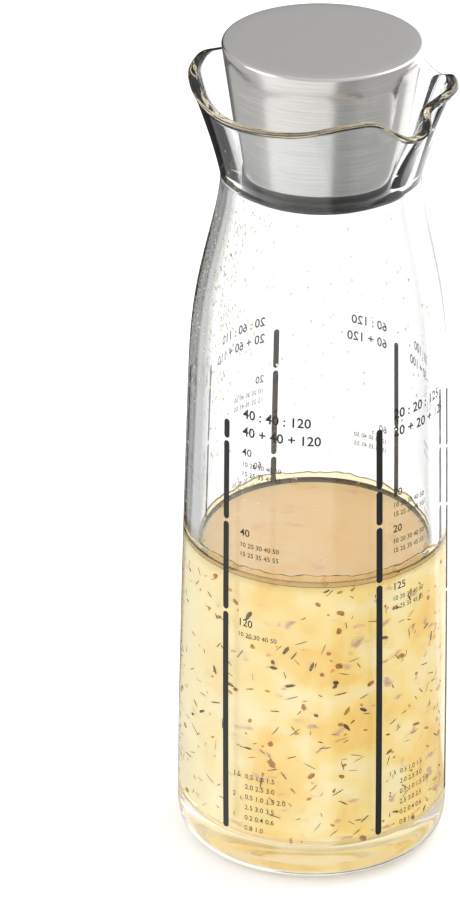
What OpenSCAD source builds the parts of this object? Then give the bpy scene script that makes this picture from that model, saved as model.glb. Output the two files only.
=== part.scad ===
// Dressing shaker bottle: a clear glass carafe with a pinched pouring collar,
// a brushed steel stopper and fired enamel measuring bars.
// The base centre is the origin, up is +Z and the pouring spout points along +X.

/* [Bottle] */

// height of the whole bottle with its stopper in place, mm
overall_height = 187.7; // [160:0.1:220]
// largest radius of the glass body, mm
body_radius = 29.85; // [25:0.05:35]
// height at which the heel runs into the body, mm
heel_height = 7.5; // [3:0.1:14]
// radius of the flat the bottle stands on, mm
foot_radius = 25.3; // [20:0.1:29]
// how square the heel is, 2 is a plain quarter ellipse
heel_squareness = 2.3; // [1.6:0.1:4]
// slow narrowing of the body towards the shoulder
body_taper = 0.00173; // [0:0.00001:0.004]
// height at which the shoulder starts to draw in, mm
shoulder_start = 108; // [90:0.5:125]
// height of the waist between shoulder and collar, mm
waist_height = 157; // [145:0.5:165]
// how far the shoulder draws in beyond the taper, mm
shoulder_draw = 5.3; // [2:0.1:9]
// glass wall of the body, mm
wall = 3.4; // [1.5:0.1:5]
// glass under the contents, mm
floor_thickness = 6.5; // [3:0.1:12]
// radius of the shallow hollow under the foot, mm
punt_radius = 21.5; // [12:0.1:24]
// depth of the hollow under the foot, mm
punt_depth = 0.9; // [0.2:0.1:3]

/* [Pouring collar] */

// height of the rim behind the stopper, mm
rim_height = 180.4; // [170:0.1:190]
// radius of the plain round rim, mm
rim_radius = 28.5; // [24:0.1:34]
// glass wall at the rim, mm
rim_wall = 2.6; // [1.5:0.1:4]
// how much the rim dips on the sides, mm
side_dip = 3.1; // [0:0.1:6]
// how far the rim drops at the two lobes beside the spout, mm
lobe_drop = 5.7; // [0:0.1:9]
// how far the two pinches beside the spout go in, mm
pinch_depth = 2.1; // [0:0.1:5]
// how far the rim is bent outward at the lobes, mm
lobe_flare = 1.2; // [0:0.1:3]
// half angle between spout and pinch, degrees
pinch_angle = 21.5; // [12:0.5:35]
// half angle between spout and lobe, degrees
lobe_angle = 38; // [28:0.5:55]
// rounding of the flame polished rim, mm
rim_round = 0.55; // [0.1:0.05:1.2]

/* [Contents] */

// height of the dressing in the bottle, mm
fill_height = 72; // [20:0.5:120]

/* [Measuring bars] */

// width of one enamel bar, mm
bar_width = 1.45; // [0.8:0.05:3]
// thickness of the fired enamel, mm
bar_thickness = 0.12; // [0.05:0.01:0.3]
// lower end of the bars, mm
bar_bottom = 10.5; // [8:0.5:20]
// upper end of the bars, mm
bar_top = 108.7; // [80:0.1:115]
// clear gap that reads as one measuring mark, mm
mark_gap = 0.65; // [0.3:0.05:2]

/* [Stopper] */

// radius of the stopper at its top, mm
cap_top_radius = 21.45; // [18:0.05:25]
// radius of the stopper at its lower edge, mm
cap_foot_radius = 17.25; // [15:0.05:18]
// height of the steel cap, mm
cap_height = 28.4; // [20:0.1:40]
// sheet thickness of the steel cap, mm
cap_wall = 0.6; // [0.4:0.05:1.2]
// rounding of the upper edge of the cap, mm
cap_edge = 0.8; // [0.3:0.1:3]
// thickness of the silicone seal, mm
seal_height = 3.3; // [2:0.1:6]
// gap between seal and neck, mm
seal_gap = 0.06; // [0.03:0.01:0.3]

/* [View] */

// which piece to show

/* [Hidden] */

$fn = 96;
cap_foot = overall_height - cap_height;
waist_radius = outer_radius(waist_height);
neck_radius = waist_radius - wall;
seal_top = cap_foot - 0.25;
seal_bottom = seal_top - seal_height;

// Outer radius of the glass body at a height above the heel.
function taper(z) = body_radius - body_taper * pow(max(z - heel_height, 0), 1.5);
function draw_in(z) = pow(max(min((z - shoulder_start) / 50, 1), 0), 1.5);
function outer_radius(z) = taper(z) - shoulder_draw * (0.5 - 0.5 * cos(180 * draw_in(z)));

// Heights at which the profile has a corner; the long straight bands carry the bars.
body_steps = [20, 36, 52, 68, 84, 98, 108, 113, 118, 123, 127.5, 132, 136, 140, 144, 148, 152, waist_height];

// Quarter of a squared ellipse from the foot up into the body.
heel_steps = 9;
function heel_z(i) = heel_height * pow(i / heel_steps, 1.6);
function heel_lift(z) = pow(1 - z / heel_height, heel_squareness);
function heel_r(z) = foot_radius + (body_radius - foot_radius) * pow(1 - heel_lift(z), 1 / heel_squareness);

outer_profile = concat(
    [for (i = [0 : heel_steps]) [heel_r(heel_z(i)), heel_z(i)]],
    [for (z = body_steps) [outer_radius(z), z]]
);

// The inside follows the outside one wall further in, with a rounded corner at the floor.
corner = 6;
corner_steps = 6;
inside_floor_radius = outer_radius(floor_thickness + corner) - wall;
inner_profile = concat(
    [for (i = [0 : corner_steps])
        [inside_floor_radius - corner * (1 - sin(90 * i / corner_steps)),
         floor_thickness + corner * (1 - cos(90 * i / corner_steps))]],
    [for (z = body_steps) [outer_radius(z) - wall, z]]
);

// The wavy rim. Angle 0 is the tip of the spout and both sides mirror each other.
function bump(a, centre, reach) = exp(-pow((a - centre) / reach, 2));
function both(a) = abs(a > 180 ? a - 360 : a);
function rim_z(a) = rim_height
    - side_dip * bump(a, 126, 30)
    - side_dip * 0.55 * bump(a, 90, 22)
    - lobe_drop * bump(a, lobe_angle, 14)
    - 1.1 * bump(a, 0, 14)
    - 1.1 * bump(a, pinch_angle, 7)
    - 0.4 * bump(a, 64, 10)
    + 0.6 * bump(a, 165, 9);
function rim_r(a) = rim_radius
    + 0.45 * bump(a, 0, 9)
    - pinch_depth * bump(a, pinch_angle, 6)
    + lobe_flare * bump(a, lobe_angle - 3, 9)
    - 1.0 * bump(a, 58, 9)
    - 0.9 * bump(a, 72, 14);

// Skin of the collar: share 0 is the waist and share 1 the rim.
// The plain flare is a soft cone and the shaped rim fades out further down.
collar_turn = 3;
collar_start = waist_height - 0.4;
shares = [0, 0.05, 0.12, 0.2, 0.3, 0.4, 0.5, 0.6, 0.7, 0.79, 0.87, 0.94];
function flare(s) = pow(s, 1.22);
function shaped(a, s) = (rim_r(a) - rim_radius) * pow(s, 2.2);
function skin_r(a, s) = waist_radius - 0.03 + (rim_radius - waist_radius) * flare(s) + shaped(a, s);
function skin_z(a, s) = collar_start + (rim_z(a) - collar_start) * s;
function wall_at(s) = wall - 0.06 + (rim_wall - wall) * s;
function around(r, a, z) = [r * cos(a), r * sin(a), z];
function outer_ring(s) = [for (a = [0 : collar_turn : 359]) around(skin_r(both(a), s), a, skin_z(both(a), s))];
function inner_ring(s) = [for (a = [0 : collar_turn : 359])
    around(skin_r(both(a), s) - wall_at(s), a, skin_z(both(a), s))];

// Rounded rim: share 0 is the outer corner and share 1 the inner one.
function lip_ring(t) = [for (a = [0 : collar_turn : 359])
    around(rim_r(both(a)) - t * rim_wall, a, rim_z(both(a)) - lip_fall(t))];
function lip_fall(t) = rim_round * pow(abs(2 * t - 1), 5);

collar_rings = concat(
    [for (s = shares) outer_ring(s)],
    [for (t = [0, 0.08, 0.25, 0.75, 0.92, 1]) lip_ring(t)],
    [for (i = [len(shares) - 1 : -1 : 0]) inner_ring(shares[i])]
);

// Closes a list of rings into one tube that meets itself again.
module ring_tube(rings) {
    n = len(rings[0]);
    m = len(rings);
    points = [for (ring = rings) for (p = ring) p];
    faces = [for (j = [0 : m - 1]) for (i = [0 : n - 1])
        each [
            [j * n + i, ((j + 1) % m) * n + i, ((j + 1) % m) * n + (i + 1) % n],
            [j * n + i, ((j + 1) % m) * n + (i + 1) % n, j * n + (i + 1) % n]
        ]];
    polyhedron(points = points, faces = faces, convexity = 8);
}

module outer_body() {
    rotate_extrude($fn = 120)
        polygon(concat([[0, 0]], outer_profile, [[0, waist_height]]));
}

module inner_body() {
    rotate_extrude($fn = 120)
        polygon(concat([[0, floor_thickness]], inner_profile,
            [[neck_radius, waist_height + 1], [0, waist_height + 1]]));
}

module punt() {
    rotate_extrude($fn = 120)
        polygon([[0, -1], [punt_radius, -1], [punt_radius, 0],
                 [punt_radius - 2.5, punt_depth * 0.7], [punt_radius - 7, punt_depth], [0, punt_depth]]);
}

// The glass is blown in one piece: body, waist and collar.
module glass_bottle() {
    color([0.93, 0.95, 0.95, 0.35])
        union() {
            difference() {
                outer_body();
                inner_body();
                punt();
            }
            ring_tube(collar_rings);
        }
}

// What the bottle is filled with, up to the fill height.
module dressing() {
    color([0.95, 0.83, 0.5])
        intersection() {
            inner_body();
            translate([0, 0, floor_thickness - 1]) cylinder(r = body_radius, h = fill_height - floor_thickness + 1);
        }
}

// Deep drawn steel cap, widest at its flat top.
module lid_shell() {
    slope = (cap_top_radius - cap_foot_radius) / (cap_height - cap_edge);
    inner_top = overall_height - cap_wall;
    color([0.75, 0.75, 0.74])
        rotate_extrude($fn = 120)
            polygon([
                [0, overall_height],
                [cap_top_radius - cap_edge, overall_height],
                [cap_top_radius - cap_edge * 0.62, overall_height - cap_edge * 0.08],
                [cap_top_radius - cap_edge * 0.29, overall_height - cap_edge * 0.29],
                [cap_top_radius - cap_edge * 0.08, overall_height - cap_edge * 0.62],
                [cap_top_radius, overall_height - cap_edge],
                [cap_foot_radius, cap_foot],
                [cap_foot_radius - cap_wall, cap_foot],
                [cap_top_radius - cap_wall - slope * 1.2, inner_top - 0.9],
                [cap_top_radius - cap_wall - 1.4, inner_top],
                [0, inner_top]
            ]);
}

// Black moulded plug that is pressed into the cap and carries the seal.
core_gap = 0.1;
function cap_inside(z) = cap_foot_radius - cap_wall
    + (cap_top_radius - cap_foot_radius) / (cap_height - cap_edge) * (z - cap_foot);

module stopper_core() {
    socket_top = cap_foot + 13;
    color([0.09, 0.09, 0.09])
        difference() {
            union() {
                rotate_extrude($fn = 120)
                    polygon([
                        [0, seal_bottom + 1.1],
                        [13.2, seal_bottom + 1.1],
                        [13.2, seal_top],
                        [16.5, seal_top],
                        [16.5, cap_foot],
                        [cap_inside(cap_foot) - core_gap, cap_foot],
                        [cap_inside(socket_top) - core_gap, socket_top],
                        [14.6, socket_top],
                        [14.6, cap_foot + 2],
                        [0, cap_foot + 2]
                    ]);
                for (k = [0 : 5])
                    rotate([0, 0, 60 * k]) translate([3, -0.8, cap_foot + 1.5]) cube([12, 1.6, 9]);
                translate([0, 0, cap_foot + 1.5]) cylinder(r = 5, h = 11);
            }
            translate([0, 0, seal_bottom]) cylinder(r = 2.1, h = 14);
        }
}

// Soft ring with two lips that closes the neck.
module seal_ring() {
    edge = neck_radius - seal_gap;
    color([0.05, 0.05, 0.05])
        rotate_extrude($fn = 120)
            polygon([
                [13.3, seal_bottom + 0.1],
                [edge - 1.6, seal_bottom + 0.1],
                [edge - 0.5, seal_bottom + 0.3],
                [edge, seal_bottom + 0.8],
                [edge - 0.1, seal_bottom + 1.3],
                [edge - 0.7, seal_bottom + 1.65],
                [edge - 0.1, seal_bottom + 2.0],
                [edge, seal_bottom + 2.5],
                [edge - 0.5, seal_top - 0.35],
                [edge - 1.4, seal_top - 0.05],
                [13.3, seal_top - 0.05]
            ]);
}

// Disc with a snap stem that holds the seal on the plug from below.
module stopper_base() {
    color([0.07, 0.07, 0.07])
        union() {
            rotate_extrude($fn = 120)
                polygon([
                    [0, seal_bottom - 1.0],
                    [14.6, seal_bottom - 1.0],
                    [15.6, seal_bottom - 0.6],
                    [15.9, seal_bottom + 0.05],
                    [12.9, seal_bottom + 0.05],
                    [12.9, seal_bottom + 1.05],
                    [0, seal_bottom + 1.05]
                ]);
            translate([0, 0, seal_bottom]) cylinder(r = 2.05, h = 13);
        }
}

// Stretch of the outside of the glass, grown by the enamel thickness.
module enamel_skin() {
    edge = concat([for (z = body_steps) if (z < shoulder_start + 6) [outer_radius(z), z]]);
    full = concat([[body_radius, heel_height]], edge);
    rotate([0, 0, -4])
        rotate_extrude(angle = 8, $fn = 360)
            polygon(concat(full, [for (i = [len(full) - 1 : -1 : 0]) [full[i][0] + bar_thickness, full[i][1]]]));
}

bar_middle = (bar_bottom + bar_top) / 2;

// One bar of stretches with round ends, cut from the enamel skin.
// It leans a little, because the print keeps its pitch while the glass gets wider.
module scale_bar(turn, marks, lean = 0) {
    stops = concat([bar_bottom - mark_gap / 2], marks, [bar_top + mark_gap / 2]);
    half = bar_width / 2;
    color([0.16, 0.15, 0.14])
        rotate([0, 0, turn])
            intersection() {
                enamel_skin();
                for (i = [0 : len(stops) - 2])
                    translate([20, 0, 0]) rotate([90, 0, 90]) linear_extrude(15)
                        translate([0, bar_middle]) rotate(lean) translate([0, -bar_middle])
                        bar_outline(stops[i] + mark_gap / 2, stops[i + 1] - mark_gap / 2, half);
            }
}

module bar_outline(low, high, half) {
    translate([-half, low + half]) square([2 * half, high - low - 2 * half]);
    translate([0, low + half]) circle(r = half, $fn = 48);
    translate([0, high - half]) circle(r = half, $fn = 48);
}

module scale_bar_a() { scale_bar(-122.75, [63.5, 85, 104], 1.33); }
module scale_bar_b() { scale_bar(-53, [72, 85.8, 94.4], 0.44); }
module scale_bar_c() { scale_bar(0, [60, 81, 95]); }
module scale_bar_d() { scale_bar(54.3, [66, 88]); }
module scale_bar_e() { scale_bar(119.4, [57, 78, 99]); }
module scale_bar_f() { scale_bar(173, [69, 90]); }

glass_bottle();
dressing();
lid_shell();
stopper_core();
seal_ring();
stopper_base();
scale_bar_a();
scale_bar_b();
scale_bar_c();
scale_bar_d();
scale_bar_e();
scale_bar_f();
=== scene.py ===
import math
import random

import bpy
from mathutils import Matrix, Vector, noise


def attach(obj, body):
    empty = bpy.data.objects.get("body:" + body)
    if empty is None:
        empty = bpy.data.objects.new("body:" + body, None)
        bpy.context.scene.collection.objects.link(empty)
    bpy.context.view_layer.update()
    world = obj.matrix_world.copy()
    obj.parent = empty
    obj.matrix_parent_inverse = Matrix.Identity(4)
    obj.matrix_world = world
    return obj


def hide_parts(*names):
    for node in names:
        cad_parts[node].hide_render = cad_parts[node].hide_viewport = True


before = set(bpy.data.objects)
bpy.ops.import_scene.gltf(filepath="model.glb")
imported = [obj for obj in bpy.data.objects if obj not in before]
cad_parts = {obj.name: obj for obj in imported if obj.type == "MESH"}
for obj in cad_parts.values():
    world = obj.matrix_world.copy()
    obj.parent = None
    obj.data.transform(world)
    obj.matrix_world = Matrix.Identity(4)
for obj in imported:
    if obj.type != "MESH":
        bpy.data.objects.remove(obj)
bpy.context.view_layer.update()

MM = 0.001

# The same named sizes as the part's source, in millimetres.
OVERALL = 187.7
BODY_RADIUS = 29.85
HEEL_HEIGHT = 7.5
FOOT_RADIUS = 25.3
HEEL_SQUARENESS = 2.3
BODY_TAPER = 0.00173
SHOULDER_START = 108
WAIST = 157
SHOULDER_DRAW = 5.3
WALL = 3.4
FLOOR = 6.5
PUNT_RADIUS = 21.5
PUNT_DEPTH = 0.9
RIM_HEIGHT = 180.4
RIM_RADIUS = 28.5
RIM_WALL = 2.6
SIDE_DIP = 3.1
LOBE_DROP = 5.7
PINCH_DEPTH = 2.1
LOBE_FLARE = 1.2
PINCH_ANGLE = 21.5
LOBE_ANGLE = 38
RIM_ROUND = 0.55
FILL = 72
CAP_TOP = 21.45
CAP_FOOT = 17.25
CAP_HEIGHT = 28.4
CAP_WALL = 0.6
CAP_EDGE = 0.8
SEAL_HEIGHT = 3.3
SEAL_GAP = 0.06
ENAMEL = 0.12
BAR_TURNS = {"a": -122.75, "b": -53, "c": 0, "d": 54.3, "e": 119.4, "f": 173}
BAR_LEANS = {"a": 1.33, "b": 0.44}
BAR_MIDDLE = 59.6

CAP_LOW = OVERALL - CAP_HEIGHT
SEAL_TOP = CAP_LOW - 0.25
SEAL_LOW = SEAL_TOP - SEAL_HEIGHT
CORNER = 6


def linear(text):
    """sRGB hex to the linear colour that sockets take."""
    parts = [int(text[i:i + 2], 16) / 255 for i in (0, 2, 4)]
    return tuple(c / 12.92 if c <= 0.04045 else ((c + 0.055) / 1.055) ** 2.4 for c in parts) + (1.0,)


def add(tree, kind, inputs=None, **settings):
    """One node with its settings, its values and its links."""
    made = tree.nodes.new(kind)
    for key, value in settings.items():
        setattr(made, key, value)
    for key, value in (inputs or {}).items():
        socket = made.inputs[key]
        if isinstance(value, bpy.types.NodeSocket):
            tree.links.new(value, socket)
        else:
            socket.default_value = value
    return made


def ramp(tree, value, stops, ease="LINEAR"):
    """Colour ramp from (place, hex) stops."""
    made = add(tree, "ShaderNodeValToRGB", {"Fac": value})
    made.color_ramp.interpolation = ease
    band = made.color_ramp.elements
    while len(band) < len(stops):
        band.new(0.5)
    for spot, (place, shade) in zip(band, stops):
        spot.position = place
        spot.color = linear(shade)
    return made.outputs["Color"]


def finish_named(name):
    made = bpy.data.materials.new(name)
    made.use_nodes = True
    made.node_tree.nodes.clear()
    return made, made.node_tree


def close(tree, shader, bump=None):
    add(tree, "ShaderNodeOutputMaterial", {"Surface": shader})


def bump_at(a, centre, reach):
    return math.exp(-((a - centre) / reach) ** 2)


def taper(z):
    return BODY_RADIUS - BODY_TAPER * max(z - HEEL_HEIGHT, 0) ** 1.5


def outer_radius(z):
    draw = max(min((z - SHOULDER_START) / 50, 1), 0) ** 1.5
    return taper(z) - SHOULDER_DRAW * (0.5 - 0.5 * math.cos(math.pi * draw))


WAIST_RADIUS = outer_radius(WAIST)
NECK_RADIUS = WAIST_RADIUS - WALL


def heel(z):
    lift = (1 - z / HEEL_HEIGHT) ** HEEL_SQUARENESS
    return FOOT_RADIUS + (BODY_RADIUS - FOOT_RADIUS) * (1 - lift) ** (1 / HEEL_SQUARENESS)


def rim_z(a):
    return (RIM_HEIGHT - SIDE_DIP * bump_at(a, 126, 30) - SIDE_DIP * 0.55 * bump_at(a, 90, 22)
            - LOBE_DROP * bump_at(a, LOBE_ANGLE, 14) - 1.1 * bump_at(a, 0, 14)
            - 1.1 * bump_at(a, PINCH_ANGLE, 7) - 0.4 * bump_at(a, 64, 10) + 0.6 * bump_at(a, 165, 9))


def rim_r(a):
    return (RIM_RADIUS + 0.45 * bump_at(a, 0, 9) - PINCH_DEPTH * bump_at(a, PINCH_ANGLE, 6)
            + LOBE_FLARE * bump_at(a, LOBE_ANGLE - 3, 9) - 1.0 * bump_at(a, 58, 9)
            - 0.9 * bump_at(a, 72, 14))


COLLAR_START = WAIST - 0.4


def skin(a, s, depth=0.0):
    """Radius and height on the collar: s 0 at the waist, 1 at the rim, depth 0 outside, 1 inside."""
    r = (WAIST_RADIUS - 0.03 + (RIM_RADIUS - WAIST_RADIUS) * s ** 1.22
         + (rim_r(a) - RIM_RADIUS) * s ** 2.2)
    wall = WALL - 0.06 + (RIM_WALL - WALL) * s
    return r - depth * wall, COLLAR_START + (rim_z(a) - COLLAR_START) * s


def inner_corner(steps=10, grow=0.0):
    """Rounded corner between floor and inner wall, as (radius, height) pairs."""
    side = outer_radius(FLOOR + CORNER) - WALL
    pairs = []
    for i in range(steps + 1):
        t = math.pi / 2 * i / steps
        pairs.append((side - CORNER * (1 - math.sin(t)) + grow * math.sin(t),
                      FLOOR + CORNER * (1 - math.cos(t)) - grow * math.cos(t)))
    return pairs


def rings_mesh(name, rings, turns=256, uv=False):
    """Skin over a list of rings. A ring is (radius, height) or a function of the side angle
    in degrees that gives them; a radius of 0 closes the skin in a point."""
    verts, faces, rows = [], [], []
    for ring in rings:
        if not callable(ring) and ring[0] == 0:
            rows.append([len(verts)])
            verts.append((0, 0, ring[1] * MM))
            continue
        row = []
        for i in range(turns):
            turn = 360 * i / turns
            side = turn if turn <= 180 else 360 - turn
            r, z = ring(side) if callable(ring) else ring
            row.append(len(verts))
            verts.append((r * MM * math.cos(math.radians(turn)), r * MM * math.sin(math.radians(turn)), z * MM))
        rows.append(row)
    for low, high in zip(rows, rows[1:]):
        for i in range(turns):
            j = (i + 1) % turns
            if len(low) == 1:
                faces.append((low[0], high[j], high[i]))
            elif len(high) == 1:
                faces.append((low[i], low[j], high[0]))
            else:
                faces.append((low[i], low[j], high[j], high[i]))
    mesh = bpy.data.meshes.new(name)
    mesh.from_pydata(verts, [], faces)
    mesh.update()
    for face in mesh.polygons:
        face.use_smooth = True
    piece = bpy.data.objects.new(name, mesh)
    bpy.context.collection.objects.link(piece)
    return piece


def joined(name, verts, faces, smooth=True):
    mesh = bpy.data.meshes.new(name)
    mesh.from_pydata(verts, [], faces)
    mesh.update()
    for face in mesh.polygons:
        face.use_smooth = smooth
    piece = bpy.data.objects.new(name, mesh)
    bpy.context.collection.objects.link(piece)
    return piece


def dress(piece, material, body, slot, *nodes):
    piece.data.materials.append(material)
    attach(piece, body)
    if nodes:
        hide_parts(*nodes)


def blown_glass():
    """Clear soda glass, blown and fire polished: no colour, sharp reflections."""
    made, tree = finish_named("blown_clear_glass")
    shader = add(tree, "ShaderNodeBsdfPrincipled", {
        "Base Color": linear("fafbfb"), "Roughness": 0.0, "IOR": 1.5, "Transmission Weight": 1.0})
    close(tree, shader.outputs["BSDF"])
    return made


def clear_oil():
    """Oil that carries the herbs: a clear pale yellow film against the glass."""
    made, tree = finish_named("pale_yellow_oil")
    shader = add(tree, "ShaderNodeBsdfPrincipled", {
        "Base Color": linear("fff3cf"), "Roughness": 0.0, "IOR": 1.46, "Transmission Weight": 1.0})
    close(tree, shader.outputs["BSDF"])
    return made


def cloudy_dressing():
    """Shaken dressing, cloudy and warm: cream and honey swirls 6 to 15 mm across, a painted
    pale glow on its -x side that stands for light coming through the dressing there, and
    mauve-grey shadows, 3 to 6 mm long, of leaves that float deeper in."""
    made, tree = finish_named("shaken_cloudy_dressing")
    place = add(tree, "ShaderNodeTexCoord").outputs["Object"]
    swirl = add(tree, "ShaderNodeTexNoise", {"Vector": place, "Scale": 95.0, "Detail": 3.0, "Distortion": 0.6})
    body = ramp(tree, swirl.outputs["Fac"], [(0.34, "f8d585"), (0.5, "fbe6a6"), (0.66, "fdf4d2")])
    flat = add(tree, "ShaderNodeMapping", {"Vector": place, "Scale": (1.0, 1.0, 1.9)})
    leaf = add(tree, "ShaderNodeTexNoise", {
        "Vector": flat.outputs["Vector"], "Scale": 210.0, "Detail": 2.5, "Distortion": 0.5})
    depth = ramp(tree, leaf.outputs["Fac"], [(0.6, "000000"), (0.74, "ffffff")], "EASE")
    shaded = add(tree, "ShaderNodeMix", {"Factor": depth, "A": body, "B": linear("c7ab9e")}, data_type="RGBA")
    side = add(tree, "ShaderNodeSeparateXYZ", {"Vector": place})
    # Painted light: the -x side turns towards a pale cream (fffce8), standing for light that comes through the dressing
    # there.
    painted_light_side = add(tree, "ShaderNodeMapRange", {
        "Value": side.outputs["X"], "From Min": -0.024, "From Max": -0.006, "To Min": 0.85, "To Max": 0.0})
    cream = add(tree, "ShaderNodeMix", {
        "Factor": painted_light_side.outputs["Result"], "A": shaded.outputs["Result"], "B": linear("fffce8")}, data_type="RGBA")
    # The top face of the dressing and its edge turn three quarters of the way to a darker, greyer cream (dcc0a2).
    high = add(tree, "ShaderNodeMapRange", {"Value": side.outputs["Z"], "From Min": 0.0709, "From Max": 0.0717})
    darker_top = add(tree, "ShaderNodeMath", {0: high.outputs["Result"], 1: 0.75}, operation="MULTIPLY")
    topped = add(tree, "ShaderNodeMix", {
        "Factor": darker_top.outputs[0], "A": cream.outputs["Result"], "B": linear("dcc0a2")}, data_type="RGBA")
    # Emission paints a glow into the whole dressing, standing for the light from behind that comes through its whole
    # depth.
    shader = add(tree, "ShaderNodeBsdfPrincipled", {
        "Base Color": topped.outputs["Result"], "Roughness": 0.7,
        "Emission Color": topped.outputs["Result"], "Emission Strength": 0.64})
    close(tree, shader.outputs["BSDF"])
    return made


def herb(name, dark, light, grain=900.0):
    """Dried leaf bits in oil: dull, uneven in colour."""
    made, tree = finish_named(name)
    place = add(tree, "ShaderNodeTexCoord").outputs["Object"]
    spots = add(tree, "ShaderNodeTexNoise", {"Vector": place, "Scale": grain, "Detail": 3.0})
    shade = ramp(tree, spots.outputs["Fac"], [(0.35, dark), (0.65, light)])
    # Emission paints a faint glow into the bits, standing for light that comes through the leaves.
    shader = add(tree, "ShaderNodeBsdfPrincipled", {
        "Base Color": shade, "Roughness": 0.55, "Emission Color": shade, "Emission Strength": 0.3})
    close(tree, shader.outputs["BSDF"])
    return made


def brushed_steel():
    """Stainless sheet, brushed round the cap: fine level lines that pull each reflection
    into an upright streak. Lines stand 0.12 mm apart and run about 12 mm."""
    made, tree = finish_named("stainless_brushed_round")
    place = add(tree, "ShaderNodeTexCoord").outputs["UV"]
    spread = add(tree, "ShaderNodeMapping", {"Vector": place, "Scale": (80.0, 5200.0, 1.0)})
    line = add(tree, "ShaderNodeTexNoise", {"Vector": spread.outputs["Vector"], "Scale": 1.0, "Detail": 3.0})
    tone = ramp(tree, line.outputs["Fac"], [(0.3, "d5d3cf"), (0.7, "e8e6e2")])
    rough = add(tree, "ShaderNodeMapRange", {
        "Value": line.outputs["Fac"], "From Min": 0.3, "From Max": 0.7, "To Min": 0.17, "To Max": 0.23})
    relief = add(tree, "ShaderNodeBump", {"Height": line.outputs["Fac"], "Strength": 0.2, "Distance": 0.00002})
    shader = add(tree, "ShaderNodeBsdfPrincipled", {
        "Base Color": tone, "Metallic": 1.0, "Roughness": rough.outputs["Result"],
        "Normal": relief.outputs["Normal"]})
    close(tree, shader.outputs["BSDF"])
    return made


def satin_steel():
    """Flat top of the cap, fine blasted satin: one even grey."""
    made, tree = finish_named("stainless_satin_top")
    place = add(tree, "ShaderNodeTexCoord").outputs["Object"]
    grit = add(tree, "ShaderNodeTexNoise", {"Vector": place, "Scale": 4000.0, "Detail": 2.0})
    tone = ramp(tree, grit.outputs["Fac"], [(0.3, "d6d5d3"), (0.7, "e2e1de")])
    relief = add(tree, "ShaderNodeBump", {"Height": grit.outputs["Fac"], "Strength": 0.1, "Distance": 0.00002})
    shader = add(tree, "ShaderNodeBsdfPrincipled", {
        "Base Color": tone, "Metallic": 1.0, "Roughness": 0.42, "Normal": relief.outputs["Normal"]})
    close(tree, shader.outputs["BSDF"])
    return made


def dark_moulded(name, shade, roughness, grain):
    """Black moulded plastic or silicone with a faint moulding grain."""
    made, tree = finish_named(name)
    place = add(tree, "ShaderNodeTexCoord").outputs["Object"]
    grit = add(tree, "ShaderNodeTexNoise", {"Vector": place, "Scale": grain, "Detail": 2.0})
    relief = add(tree, "ShaderNodeBump", {"Height": grit.outputs["Fac"], "Strength": 0.05, "Distance": 0.00003})
    tone = ramp(tree, grit.outputs["Fac"], [(0.3, shade), (0.8, "1c1c1c")])
    shader = add(tree, "ShaderNodeBsdfPrincipled", {
        "Base Color": tone, "Roughness": roughness, "Normal": relief.outputs["Normal"]})
    close(tree, shader.outputs["BSDF"])
    return made


def carafe(material):
    punt = [(0, PUNT_DEPTH), (8, PUNT_DEPTH)]
    punt += [(PUNT_RADIUS - 7 + 7 * t, PUNT_DEPTH * (0.5 + 0.5 * math.cos(math.pi * t))) for t in
             [i / 10 for i in range(1, 10)]]
    punt += [(PUNT_RADIUS + 0.3, 0.0)]
    foot = [(heel(HEEL_HEIGHT * t ** 1.6), HEEL_HEIGHT * t ** 1.6) for t in [i / 24 for i in range(25)]]
    side = [(outer_radius(z), z) for z in [HEEL_HEIGHT + 2 + 1.5 * i for i in range(98)] if z < WAIST - 0.8]
    flare = [lambda a, s=i / 40: skin(a, s) for i in range(1, 39)]
    lip = [lambda a, t=t: (rim_r(a) - t * RIM_WALL, rim_z(a) - RIM_ROUND * abs(2 * t - 1) ** 4)
           for t in (0, 0.02, 0.06, 0.12, 0.2, 0.35, 0.5, 0.65, 0.8, 0.88, 0.94, 0.98, 1)]
    back = [lambda a, s=i / 40: skin(a, s, 1.0) for i in range(38, 0, -1)]
    inside = [(outer_radius(z) - WALL, z) for z in [WAIST - 0.8 - 1.5 * i for i in range(98)] if z > FLOOR + CORNER + 1]
    corner = list(reversed(inner_corner(14)))
    piece = rings_mesh("carafe_glass", punt + foot + side + flare + lip + back + inside + corner + [(0, FLOOR)])
    dress(piece, material, "bottle", "clear_glass", "glass_bottle")
    return piece


def oil_film(material):
    """Clear oil to the wall, let 0.08 mm into the glass so that no air shows between them."""
    grow = 0.08
    corner = inner_corner(12, grow)
    side = [(outer_radius(z) - WALL + grow, z) for z in [14 + 2 * i for i in range(28)] if z < FILL - 1]
    wall = outer_radius(FILL) - WALL
    top = [(wall + grow, FILL + 0.9), (wall - 0.05, FILL + 0.85), (wall - 0.35, FILL + 0.42),
           (wall - 0.9, FILL + 0.12), (wall - 1.8, FILL), (wall - 4, FILL - 0.04), (wall * 0.5, FILL - 0.05), (0, FILL - 0.05)]
    piece = rings_mesh("dressing_oil", [(0, FLOOR - grow)] + corner + side + top, 192)
    dress(piece, material, "bottle", "dressing", "dressing")
    return piece


def cloud(material):
    """The cloudy dressing behind the film, uneven where herbs push against it."""
    def wavy(r, z):
        def ring(a):
            return r, z
        return ring
    rings = [(0, FLOOR + 0.7)]
    rings += [(r - 1.0, z + 0.7) for r, z in inner_corner(10)]
    z = 14.0
    while z < FILL - 0.6:
        gap = 1.0 - 0.75 * max(0, min((z - (FILL - 5)) / 4, 1))
        rings.append((outer_radius(z) - WALL - gap, z))
        z += 1.0
    wall = outer_radius(FILL) - WALL
    rings += [(wall - 0.5, FILL - 0.45), (wall - 1.5, FILL - 0.3), (wall - 6, FILL - 0.3), (0, FILL - 0.3)]
    piece = rings_mesh("dressing_cloud", rings, 192)
    for v in piece.data.vertices:
        flat = Vector((v.co.x, v.co.y, 0))
        if flat.length < 0.004 or v.co.z > (FILL - 1) * MM:
            continue
        push = noise.noise(v.co * 260) * 0.00035
        v.co += flat.normalized() * push
    dress(piece, material, "bottle", "dressing")
    return piece


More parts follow.
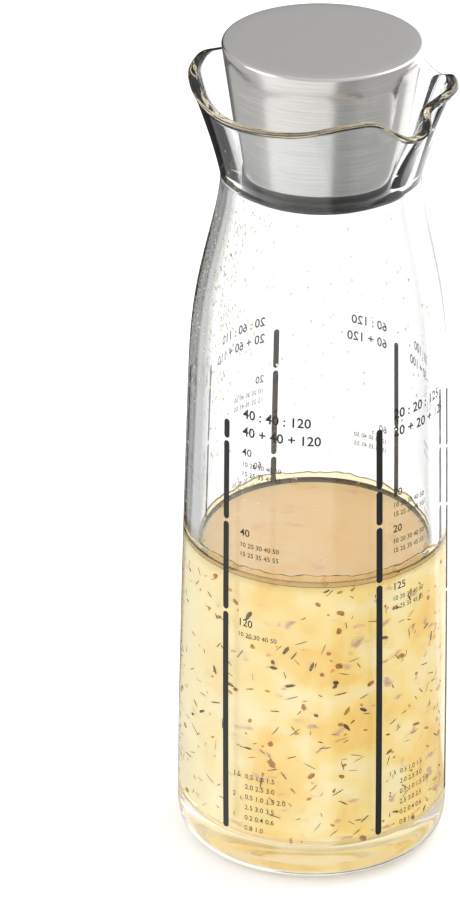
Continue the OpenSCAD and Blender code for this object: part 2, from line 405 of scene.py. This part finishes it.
def herb_bits(name, material, count, length, width, seed, deep=(0.1, 0.85), curl=0.25):
    """Thin torn leaf bits, laid round the wall inside the oil film."""
    rng = random.Random(seed)
    verts, faces = [], []
    for _ in range(count):
        z = rng.uniform(FLOOR + 1.5, FILL - 0.8)
        turn = rng.uniform(0, 2 * math.pi)
        wall = outer_radius(max(z, FLOOR + CORNER)) - WALL
        if z < FLOOR + CORNER:
            wall -= CORNER * (1 - math.sqrt(max(0, 1 - ((FLOOR + CORNER - z) / CORNER) ** 2)))
        radius = wall - rng.uniform(*deep)
        long = rng.uniform(*length)
        wide = rng.uniform(*width)
        tilt = rng.gauss(0, 0.9)
        lean = rng.uniform(-0.12, 0.12)
        out = Vector((math.cos(turn), math.sin(turn), 0))
        along = Vector((-math.sin(turn), math.cos(turn), 0))
        up = Vector((0, 0, 1))
        u = along * math.cos(tilt) + up * math.sin(tilt)
        v = up * math.cos(tilt) - along * math.sin(tilt)
        centre = out * radius + up * z
        n = rng.choice((5, 6, 7, 8))
        ring = []
        for k in range(n):
            t = 2 * math.pi * k / n
            rx = long / 2 * rng.uniform(0.7, 1.1)
            ry = wide / 2 * rng.uniform(0.6, 1.2)
            x, y = rx * math.cos(t), ry * math.sin(t)
            drop = -(x * x) / (2 * radius) - curl * (x / max(long, 0.1)) ** 2 * rng.uniform(0, 0.5) + lean * y
            ring.append(centre + u * x + v * y + out * drop)
        start = len(verts)
        thick = out * 0.05
        verts += [p * MM for p in ring] + [(p - thick) * MM for p in ring]
        faces.append(tuple(start + k for k in range(n)))
        faces.append(tuple(start + n + k for k in reversed(range(n))))
        for k in range(n):
            j = (k + 1) % n
            faces.append((start + k, start + n + k, start + n + j, start + j))
    piece = joined(name, verts, faces, smooth=False)
    dress(piece, material, "bottle", "dressing")
    return piece


def steel_cap(side_finish, top_finish):
    """Drawn cap with a tight rolled shoulder, open below; the brushing runs round its side."""
    rise = CAP_HEIGHT - CAP_EDGE
    edge = [(CAP_TOP - CAP_EDGE * (1 - math.cos(t)), OVERALL - CAP_EDGE * (1 - math.sin(t)))
            for t in [math.pi / 2 * i / 8 for i in range(9)]]
    outside = [(CAP_FOOT + (CAP_TOP - CAP_FOOT) * t, CAP_LOW + rise * t) for t in [i / 24 for i in range(25)]]
    flat = [(r, OVERALL) for r in (18, 15, 10, 5)] + [(0, OVERALL)]
    inner_top = OVERALL - CAP_WALL
    inside = [(0, inner_top), (10, inner_top), (CAP_TOP - CAP_WALL - 1.4, inner_top),
              (CAP_TOP - CAP_WALL - 0.35, inner_top - 0.9),
              (CAP_FOOT - CAP_WALL + 0.05, CAP_LOW + 0.3), (CAP_FOOT - CAP_WALL, CAP_LOW)]
    profile = inside + [(CAP_FOOT - CAP_WALL + 0.1, CAP_LOW - 0.0), (CAP_FOOT - 0.1, CAP_LOW)] + outside + edge[1:] + flat
    piece = rings_mesh("steel_cap", profile, 256)
    mesh = piece.data
    layer = mesh.uv_layers.new(name="brushing")
    for face in mesh.polygons:
        turns = [math.atan2(mesh.vertices[v].co.y, mesh.vertices[v].co.x) for v in face.vertices]
        if max(turns) - min(turns) > math.pi:
            turns = [t + 2 * math.pi if t < 0 else t for t in turns]
        for loop, turn in zip(face.loop_indices, turns):
            co = mesh.vertices[mesh.loops[loop].vertex_index].co
            layer.data[loop].uv = (turn * 0.019, co.z)
    dress(piece, side_finish, "lid", "brushed_steel", "lid_shell")
    mesh.materials.append(top_finish)
    for face in mesh.polygons:
        if face.center.z > (OVERALL - 0.12) * MM:
            face.material_index = 1
    return piece


def seal(material):
    edge = NECK_RADIUS - SEAL_GAP
    base = [(13.35, SEAL_LOW + 0.1), (edge - 1.6, SEAL_LOW + 0.1)]
    wave = []
    for i in range(33):
        t = i / 32
        bulge = 0.5 - 0.5 * math.cos(4 * math.pi * t)
        wave.append((edge - 0.75 + 0.75 * bulge - (0.6 * (1 - math.sin(math.pi * t)) ** 3), SEAL_LOW + 0.2 + (SEAL_HEIGHT - 0.4) * t))
    top = [(edge - 1.4, SEAL_TOP - 0.05), (13.35, SEAL_TOP - 0.05), (13.35, SEAL_LOW + 0.1)]
    piece = rings_mesh("silicone_seal", base + wave + top, 256)
    dress(piece, material, "lid", "black_silicone", "seal_ring")
    return piece


def carried(name, material):
    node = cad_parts[name]
    node.data.materials.clear()
    node.data.materials.append(material)
    for face in node.data.polygons:
        face.material_index = 0


def wrapped_numbers(name, text, bar, ahead, z, height, material, bold=0.0):
    """Plain number printed on the glass, ahead degrees round from a bar, cap height in mm."""
    curve = bpy.data.curves.new(name, "FONT")
    curve.body = text
    curve.size = height * 1.4 * MM
    curve.offset = bold * MM
    curve.resolution_u = 3
    flat = bpy.data.objects.new(name + "_flat", curve)
    bpy.context.collection.objects.link(flat)
    bpy.context.view_layer.update()
    mesh = bpy.data.meshes.new_from_object(flat.evaluated_get(bpy.context.evaluated_depsgraph_get()))
    bpy.data.objects.remove(flat)
    bpy.data.curves.remove(curve)
    start = math.radians(BAR_TURNS[bar] + ahead)
    for v in mesh.vertices:
        level = z + v.co.y / MM
        radius = (outer_radius(level) + 0.03) * MM
        turn = start + v.co.x / radius
        v.co = Vector((radius * math.cos(turn), radius * math.sin(turn), level * MM))
    mesh.name = name
    piece = bpy.data.objects.new(name, mesh)
    bpy.context.collection.objects.link(piece)
    dress(piece, material, "bottle", "black_enamel")
    return piece


# Studio walls as (share of the way round, shade), from straight behind the bottle, by its
# left side, past the camera and back by its right side. WALL_LIGHT is what white stands for.
WALL_LIGHT = 1.45
CEILING = "bababa"
WALLS = [(0.0, "d8d8d8"), (0.035, "d8d8d8"), (0.05, "8c8c8c"), (0.11, "8c8c8c"), (0.125, "9a9a9a"),
         (0.325, "a4a4a4"), (0.335, "ffffff"), (0.465, "ffffff"), (0.475, "3c3c3c"), (0.6, "383838"),
         (0.615, "a4a4a4"), (0.78, "b0b0b0"), (0.8, "e8e8e8"), (1.0, "d8d8d8")]


# Print beside each bar: marks from the top with their amounts.
AMOUNTS = {"a": ((104, "40"), (85, "40"), (63.5, "120")), "b": ((94.4, "20"), (85.8, "20"), (72, "125")),
           "c": ((95, "30"), (81, "30"), (60, "100")), "d": ((88, "60"), (66, "120")),
           "e": ((99, "20"), (78, "60"), (57, "110")), "f": ((90, "50"), (69, "90"))}


def printed_numbers(bar, material):
    """Plain numbers in fired enamel: a bold sum, amounts at the marks, fine steps below them
    and a short list near the foot."""
    amounts = AMOUNTS[bar]
    lines = [(" : ".join(amount for _, amount in amounts), 6.5, 110.3, 2.2, 0.055),
             (" + ".join(amount for _, amount in amounts), 6.5, 106.2, 2.2, 0.055)]
    for mark, amount in amounts:
        lines.append((amount, 6.5, mark - 2.4, 1.75, 0.03))
        lines.append(("10 20 30 40 50", 6.5, mark - 5.0, 1.1, 0.012))
        if mark - 7.4 > 60:
            lines.append(("15 25 35 45 55", 6.5, mark - 7.2, 1.1, 0.012))
    for row, (count, steps) in enumerate((("1.5", "0.5 1.0 1.5"), ("", "2.0 2.5 3.0"), ("2", "0.5 1.0 1.5 2.0"),
                                          ("", "2.5 3.0 3.5"), ("1", "0.2 0.4 0.6"), ("", "0.8 1.0"))):
        level = 24.2 - 2.55 * row
        if count:
            lines.append((count, 5.5, level, 1.2, 0.012))
        lines.append((steps, 11.5, level - 0.1, 1.2, 0.012))
    for row, (text, ahead, level, height, bold) in enumerate(lines):
        wrapped_numbers("numbers_%s_%d" % (bar, row), text, bar, ahead, level, height, material, bold)


def wet_edge(material):
    """Wavy film of oil that the shaking left on the wall just above the dressing."""
    wall = outer_radius(FILL) - WALL
    tube = [(wall + 0.08, FILL - 0.4), (wall + 0.08, FILL + 2.0), (wall - 0.1, FILL + 2.3),
            (wall - 0.32, FILL + 2.1), (wall - 0.36, FILL + 1.8), (wall - 0.2, FILL + 1.2),
            (wall - 0.22, FILL + 0.4), (wall - 0.3, FILL - 0.4), (wall + 0.08, FILL - 0.4)]
    piece = rings_mesh("wet_edge", tube, 384)
    for v in piece.data.vertices:
        if v.co.z > (FILL + 1) * MM:
            v.co.z += (0.9 * noise.noise(v.co * 160) + 0.35 * noise.noise(v.co * 520)) * MM
    dress(piece, material, "bottle", "dressing")


def ball(verts, faces, centre, sizes, turned=False, rounds=10, steps=6):
    """Adds one ball to the lists; sizes is its half width out from the wall, along it and up."""
    out = Vector((centre.x, centre.y, 0)).normalized()
    along = Vector((-out.y, out.x, 0))
    up = Vector((0, 0, 1))
    start = len(verts)
    verts.append(centre - up * sizes[2])
    for i in range(1, steps):
        t = math.pi * i / steps - math.pi / 2
        for k in range(rounds):
            u = 2 * math.pi * k / rounds
            verts.append(centre + up * sizes[2] * math.sin(t)
                         + (out * sizes[0] * math.cos(u) + along * sizes[1] * math.sin(u)) * math.cos(t))
    verts.append(centre + up * sizes[2])
    made = []
    for k in range(rounds):
        j = (k + 1) % rounds
        made.append((start, start + 1 + j, start + 1 + k))
        for i in range(steps - 2):
            low = start + 1 + i * rounds
            made.append((low + k, low + j, low + rounds + j, low + rounds + k))
        last = start + 1 + (steps - 2) * rounds
        made.append((last + k, last + j, len(verts) - 1))
    faces += [tuple(reversed(face)) for face in made] if turned else made


def clinging_drops(material):
    """Fine drops on the inside of the empty glass, thickest on the side away from the spout."""
    rng = random.Random(21)
    verts, faces = [], []
    for _ in range(620):
        z = rng.triangular(FILL + 4, 153, 140)
        turn = math.radians(rng.gauss(188, 28) if rng.random() < 0.7 else rng.uniform(0, 360))
        size = rng.uniform(0.1, 0.32)
        radius = outer_radius(z) - WALL
        centre = Vector((radius * math.cos(turn), radius * math.sin(turn), z)) * MM
        ball(verts, faces, centre, (size * 0.6 * MM, size * MM, size * rng.uniform(1.0, 1.6) * MM), rounds=8, steps=5)
    piece = joined("clinging_drops", verts, faces)
    dress(piece, material, "bottle", "dressing")


def bubbles(material):
    """Air bubbles along the edge of the dressing, each a thin skin of oil."""
    rng = random.Random(8)
    verts, faces = [], []
    for turn in (-124, -77, -40, -8, 22, 75, 110, 160, 200):
        size = rng.uniform(0.65, 0.95)
        radius = outer_radius(FILL) - WALL - size - 0.05
        around = math.radians(turn)
        centre = Vector((radius * math.cos(around), radius * math.sin(around), FILL + 0.4)) * MM
        ball(verts, faces, centre, (size * MM,) * 3, rounds=20, steps=12)
        ball(verts, faces, centre, ((size - 0.1) * MM,) * 3, turned=True, rounds=20, steps=12)
    piece = joined("edge_bubbles", verts, faces)
    dress(piece, material, "bottle", "dressing")


def camera():
    lens = bpy.data.cameras.new("camera")
    lens.lens = 253.8
    lens.sensor_width = 36
    lens.clip_end = 20
    made = bpy.data.objects.new("camera", lens)
    made.location = (0.176556, -1.256262, 0.714957)
    made.rotation_euler = [math.radians(v) for v in (63.7205, -0.4558, 9.0749)]
    bpy.context.collection.objects.link(made)
    bpy.context.scene.camera = made


def lamp(name, place, aim, size, watts, tall=None):
    light = bpy.data.lights.new(name, "AREA")
    light.shape = "RECTANGLE"
    light.size = size
    light.size_y = tall or size
    light.energy = watts
    made = bpy.data.objects.new(name, light)
    made.location = place
    made.rotation_euler = (Vector(aim) - Vector(place)).to_track_quat("-Z", "Y").to_euler()
    bpy.context.collection.objects.link(made)
    return made


def panels(tree, place):
    """Ring of light and dark studio walls that only shows in metal and glass. The walls stand
    round the bottle: the ramp starts and ends straight behind it and its middle is the camera."""
    turned = add(tree, "ShaderNodeMapping", {"Vector": place, "Rotation": (0, 0, math.radians(82 - 180))})
    round_walls = add(tree, "ShaderNodeTexGradient", {"Vector": turned.outputs["Vector"]}, gradient_type="RADIAL")
    return ramp(tree, round_walls.outputs["Fac"], WALLS)


def mirrored_rays(tree, in_glass):
    """1 for a ray that has met one mirror surface and no matt one. in_glass is the value for
    one that went through a glass wall as well: it keeps the clear rim light."""
    ray = add(tree, "ShaderNodeLightPath")
    shiny = add(tree, "ShaderNodeMath", {0: ray.outputs["Glossy Depth"], 1: 0.5}, operation="GREATER_THAN")
    once = add(tree, "ShaderNodeMath", {0: ray.outputs["Glossy Depth"], 1: 1.5}, operation="LESS_THAN")
    clean = add(tree, "ShaderNodeMath", {0: ray.outputs["Diffuse Depth"], 1: 0.5}, operation="LESS_THAN")
    first = add(tree, "ShaderNodeMath", {0: shiny.outputs[0], 1: once.outputs[0]}, operation="MULTIPLY")
    seen = add(tree, "ShaderNodeMath", {0: first.outputs[0], 1: clean.outputs[0]}, operation="MULTIPLY")
    inside = add(tree, "ShaderNodeMath", {0: ray.outputs["Transmission Depth"], 1: 2.0, 2: 1.5}, operation="COMPARE")
    share = add(tree, "ShaderNodeMath", {0: inside.outputs[0], 1: in_glass - 1.0, 2: 1.0}, operation="MULTIPLY_ADD")
    return add(tree, "ShaderNodeMath", {0: seen.outputs[0], 1: share.outputs[0]}, operation="MULTIPLY").outputs[0]


def studio():
    world = bpy.data.worlds.new("studio")
    bpy.context.scene.world = world
    world.use_nodes = True
    tree = world.node_tree
    tree.nodes.clear()
    painted_light_side = add(tree, "ShaderNodeBackground", {"Color": (1, 1, 1, 1), "Strength": 1.0})
    around = add(tree, "ShaderNodeTexCoord").outputs["Generated"]
    level = add(tree, "ShaderNodeSeparateXYZ", {"Vector": around})
    above = add(tree, "ShaderNodeMapRange", {"Value": level.outputs["Z"], "From Min": 0.3, "From Max": 0.6})
    sky = add(tree, "ShaderNodeMix", {
        "Factor": above.outputs["Result"], "A": panels(tree, around), "B": linear(CEILING)}, data_type="RGBA")
    walls = add(tree, "ShaderNodeBackground", {"Color": sky.outputs["Result"], "Strength": WALL_LIGHT})
    mix = add(tree, "ShaderNodeMixShader", {0: mirrored_rays(tree, 1.0), 1: painted_light_side.outputs[0], 2: walls.outputs[0]})
    add(tree, "ShaderNodeOutputWorld", {"Surface": mix.outputs[0]})

    floor = joined("floor", [(-6, -6, -0.0002), (6, -6, -0.0002), (6, 6, -0.0002), (-6, 6, -0.0002)], [(0, 1, 2, 3)])
    made, tree = finish_named("white_table")
    board = add(tree, "ShaderNodeBsdfDiffuse", {"Color": (0.86, 0.86, 0.86, 1)})
    glow = add(tree, "ShaderNodeEmission", {"Color": (1, 1, 1, 1), "Strength": 0.25})
    both = add(tree, "ShaderNodeAddShader", {0: board.outputs[0], 1: glow.outputs[0]})
    around = add(tree, "ShaderNodeTexCoord").outputs["Object"]
    walls = add(tree, "ShaderNodeEmission", {"Color": panels(tree, around), "Strength": WALL_LIGHT})
    mix = add(tree, "ShaderNodeMixShader", {0: mirrored_rays(tree, 1.0), 1: both.outputs[0], 2: walls.outputs[0]})
    close(tree, mix.outputs[0])
    floor.data.materials.append(made)

    lamp("key", (0.9, 0.9, 1.3), (0, 0, 0.1), 1.0, 9)
    lamp("fill", (-1.2, -0.4, 0.9), (0, 0, 0.1), 0.9, 4)


glass = blown_glass()
carafe(glass)
oil = clear_oil()
oil_film(oil)
wet_edge(oil)
clinging_drops(oil)
bubbles(oil)
cloud(cloudy_dressing())
green = herb("dried_green_herb", "3b3314", "8a7434")
ochre = herb("dried_onion_and_pepper", "a8722a", "dcae5e")
warm = herb("mustard_and_pepper_grit", "d79a3a", "edc065")
herb_bits("herb_stems", green, 420, (1.0, 3.6), (0.16, 0.36), 3)
herb_bits("herb_leaves", green, 70, (1.2, 3.0), (0.5, 1.2), 5)
herb_bits("pale_flakes", ochre, 90, (1.0, 3.0), (0.6, 1.5), 7)
herb_bits("warm_grit", warm, 120, (0.6, 1.6), (0.4, 0.9), 11)
steel_cap(brushed_steel(), satin_steel())
seal(dark_moulded("black_silicone", "070707", 0.22, 1500))
plug = dark_moulded("black_moulded_plastic", "0a0a0a", 0.35, 2500)
carried("stopper_core", plug)
carried("stopper_base", plug)
enamel = dark_moulded("fired_black_enamel", "141210", 0.4, 3500)
for letter in BAR_TURNS:
    carried("scale_bar_" + letter, enamel)
    printed_numbers(letter, enamel)

camera()
studio()

scene = bpy.context.scene
scene.view_settings.view_transform = "Standard"
scene.cycles.max_bounces = 24
scene.cycles.transmission_bounces = 24
scene.cycles.glossy_bounces = 12
scene.cycles.diffuse_bounces = 6
scene.cycles.transparent_max_bounces = 16
